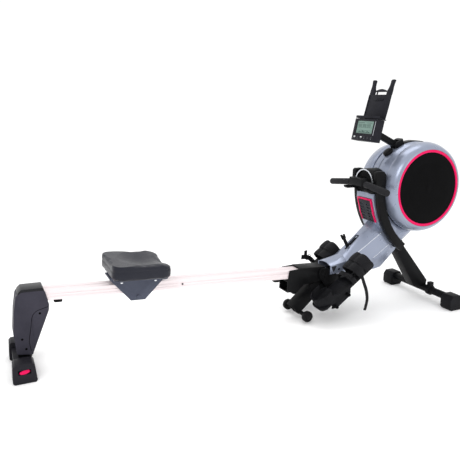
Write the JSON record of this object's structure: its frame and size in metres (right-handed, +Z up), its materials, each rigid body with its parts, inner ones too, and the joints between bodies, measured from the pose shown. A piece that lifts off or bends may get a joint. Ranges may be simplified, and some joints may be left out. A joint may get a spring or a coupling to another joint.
{
  "type": "rowing machine",
  "caption": "Indoor rowing machine with a folding aluminium rail, a rolling seat, foot plates with straps, a pull handle, a round flywheel housing and a console with a tablet holder.",
  "frame": {"origin": "centre of the footprint of the bounding box, on the floor", "axes": "+X along the rail towards the flywheel housing, +Y to the left of a seated user who faces the housing, +Z up"},
  "size_m": [2.17, 0.51, 1.126],
  "materials": {
    "frame_black": "satin",
    "frame_grey": "satin",
    "bright_steel": "satin",
    "silver_shell": "satin silver",
    "dark_shell": "fine texture",
    "grille_black": "matte",
    "accent_red": "gloss",
    "silver_trim": "gloss",
    "vent_dark": "matte",
    "cast": "machined",
    "belt": "matte",
    "foot_plastic": "fine texture",
    "webbing": "woven",
    "wheel_black": "matte",
    "rail_metal": "satin anodised",
    "rubber_black": "matte",
    "rear_shell": "fine texture",
    "seat_cover": "soft",
    "carriage": "satin",
    "roller": "satin",
    "grip_foam": "foam",
    "console_shell": "fine texture",
    "display": "gloss",
    "button_dark": "matte",
    "button_light": "matte"
  },
  "bodies": {
    "frame": {"front_stabiliser": "frame_grey", "stabiliser_caps": "foot_plastic", "front_leg": "frame_black", "main_beam": "frame_black", "wheel_strut": "frame_black", "axles": "bright_steel", "footrest_bars": "frame_black", "footplate_left": "foot_plastic", "footplate_right": "foot_plastic", "foot_straps": "webbing", "nose_hood": "dark_shell", "nose_trim": "silver_trim", "vent_panel": "vent_dark", "vent_trim": "accent_red", "neck_covers": "silver_shell", "spine_shell_left": "silver_shell", "spine_shell_right": "silver_shell", "drum_cover_left": "silver_shell", "drum_cover_right": "silver_shell", "accent_rings": "accent_red", "drum_grilles": "grille_black", "handle_arms": "frame_black", "console_base": "dark_shell", "drive_belt": "belt", "recoil_spring": "bright_steel", "cover_screws": "frame_black"},
    "rail_unit": {"rail": "rail_metal", "hinge_bracket": "frame_black", "rail_bumpers": "rubber_black", "rear_covers": "rear_shell", "rear_post": "frame_black", "rear_foot": "rear_shell"},
    "seat": {"seat_pad": "seat_cover", "seat_carriage": "carriage"},
    "front_rollers": {"rollers_front": "roller"},
    "rear_rollers": {"rollers_rear": "roller"},
    "under_roller": {"roller_lower": "roller"},
    "handle": {"handle_bar": "frame_black", "handle_grips": "grip_foam", "pull_strap": "webbing"},
    "spool": {"strap_spool": "wheel_black"},
    "flywheel": {"flywheel": "cast"},
    "magnets": {"magnet_bracket": "bright_steel"},
    "brake_lever": {"brake_lever": "dark_shell"},
    "lock_pin": {"lock_pin": "frame_black"},
    "arm_knob": {"arm_knob": "dark_shell"},
    "heel_left": {"heel_cup_left": "foot_plastic"},
    "heel_right": {"heel_cup_right": "foot_plastic"},
    "wheel_left": {"strut_wheel_left": "wheel_black"},
    "wheel_right": {"strut_wheel_right": "wheel_black"},
    "console_arm": {"console_arm": "frame_black"},
    "console_head": {"console_case": "console_shell", "console_screen": "display", "tablet_holder": "console_shell"},
    "button_1": {"console_button_1": "button_dark"},
    "button_2": {"console_button_2": "button_dark"},
    "button_3": {"console_button_3": "button_dark"},
    "button_4": {"console_button_4": "button_light"},
    "button_5": {"console_button_5": "button_dark"},
    "button_6": {"console_button_6": "button_light"}
  },
  "joints": [
    {"name": "rail_fold", "type": "hinge", "parent": "frame", "child": "rail_unit", "pos_m": [0.32571, 0, 0.22787], "axis": [0, 1, 0], "range_deg": [0, 85]},
    {"name": "seat_slide", "type": "slide", "parent": "rail_unit", "child": "seat", "axis": [0.9984, 0, -0.0567], "range_m": [-0.23, 0.58]},
    {"name": "front_roller_spin", "type": "hinge", "parent": "seat", "child": "front_rollers", "pos_m": [-0.50019, 0, 0.30611], "axis": [0, 1, 0], "continuous": true},
    {"name": "rear_roller_spin", "type": "hinge", "parent": "seat", "child": "rear_rollers", "pos_m": [-0.64196, 0, 0.31416], "axis": [0, 1, 0], "continuous": true},
    {"name": "under_roller_spin", "type": "hinge", "parent": "seat", "child": "under_roller", "pos_m": [-0.5749, 0, 0.24265], "axis": [0, 1, 0], "continuous": true},
    {"name": "handle_pull", "type": "slide", "parent": "frame", "child": "handle", "axis": [-1, 0, 0], "range_m": [0, 0.9], "stiffness_N_per_m": 25, "springref_m": -0.5},
    {"name": "spool_spin", "type": "hinge", "parent": "frame", "child": "spool", "pos_m": [0.637, 0, 0.602], "axis": [0, 1, 0], "range_deg": [-1620, 0]},
    {"name": "flywheel_spin", "type": "hinge", "parent": "frame", "child": "flywheel", "pos_m": [0.8625, 0, 0.612], "axis": [0, 1, 0], "continuous": true},
    {"name": "lever_turn", "type": "hinge", "parent": "frame", "child": "brake_lever", "pos_m": [0.505, 0, 0.318], "axis": [0, 1, 0], "range_deg": [0, 30]},
    {"name": "magnet_swing", "type": "hinge", "parent": "frame", "child": "magnets", "pos_m": [0.811, 0, 0.43], "axis": [0, 1, 0], "range_deg": [0, 3.1]},
    {"name": "lock_pin_pull", "type": "slide", "parent": "frame", "child": "lock_pin", "axis": [0, 1, 0], "range_m": [0, 0.012], "stiffness_N_per_m": 400, "springref_m": -0.01},
    {"name": "arm_knob_turn", "type": "hinge", "parent": "frame", "child": "arm_knob", "pos_m": [0.71884, 0, 0.77902], "axis": [-0.6521, 0, 0.7581], "range_deg": [0, 270]},
    {"name": "heel_slide_left", "type": "slide", "parent": "frame", "child": "heel_left", "axis": [0.8241, 0, 0.5664], "range_m": [-0.02, 0.04]},
    {"name": "heel_slide_right", "type": "slide", "parent": "frame", "child": "heel_right", "axis": [0.8241, 0, 0.5664], "range_m": [-0.02, 0.04]},
    {"name": "wheel_spin_left", "type": "hinge", "parent": "frame", "child": "wheel_left", "pos_m": [0.222, 0.089, 0.036], "axis": [0, 1, 0], "continuous": true},
    {"name": "wheel_spin_right", "type": "hinge", "parent": "frame", "child": "wheel_right", "pos_m": [0.222, -0.089, 0.036], "axis": [0, 1, 0], "continuous": true},
    {"name": "console_arm_tilt", "type": "hinge", "parent": "frame", "child": "console_arm", "pos_m": [0.75231, 0, 0.82003], "axis": [0, 1, 0], "range_deg": [-10, 8]},
    {"name": "console_head_tilt", "type": "hinge", "parent": "console_arm", "child": "console_head", "pos_m": [0.61877, 0, 0.88266], "axis": [0, 1, 0], "range_deg": [-15, 15]},
    {"name": "button_1_press", "type": "slide", "parent": "console_head", "child": "button_1", "axis": [0.977, 0, -0.213], "range_m": [0, 0.0012], "stiffness_N_per_m": 600},
    {"name": "button_2_press", "type": "slide", "parent": "console_head", "child": "button_2", "axis": [0.977, 0, -0.213], "range_m": [0, 0.0012], "stiffness_N_per_m": 600},
    {"name": "button_3_press", "type": "slide", "parent": "console_head", "child": "button_3", "axis": [0.977, 0, -0.213], "range_m": [0, 0.0012], "stiffness_N_per_m": 600},
    {"name": "button_4_press", "type": "slide", "parent": "console_head", "child": "button_4", "axis": [0.977, 0, -0.213], "range_m": [0, 0.0012], "stiffness_N_per_m": 600},
    {"name": "button_5_press", "type": "slide", "parent": "console_head", "child": "button_5", "axis": [0.977, 0, -0.213], "range_m": [0, 0.0012], "stiffness_N_per_m": 600},
    {"name": "button_6_press", "type": "slide", "parent": "console_head", "child": "button_6", "axis": [0.977, 0, -0.213], "range_m": [0, 0.0012], "stiffness_N_per_m": 600}
  ],
  "couplings": [
    {"joint": "front_roller_spin", "follows": "seat_slide", "rad_per_m": 76.923},
    {"joint": "rear_roller_spin", "follows": "seat_slide", "rad_per_m": 76.923},
    {"joint": "under_roller_spin", "follows": "seat_slide", "rad_per_m": -71.429},
    {"joint": "spool_spin", "follows": "handle_pull", "rad_per_m": -31.25},
    {"joint": "magnet_swing", "follows": "lever_turn", "ratio": 0.1}
  ]
}
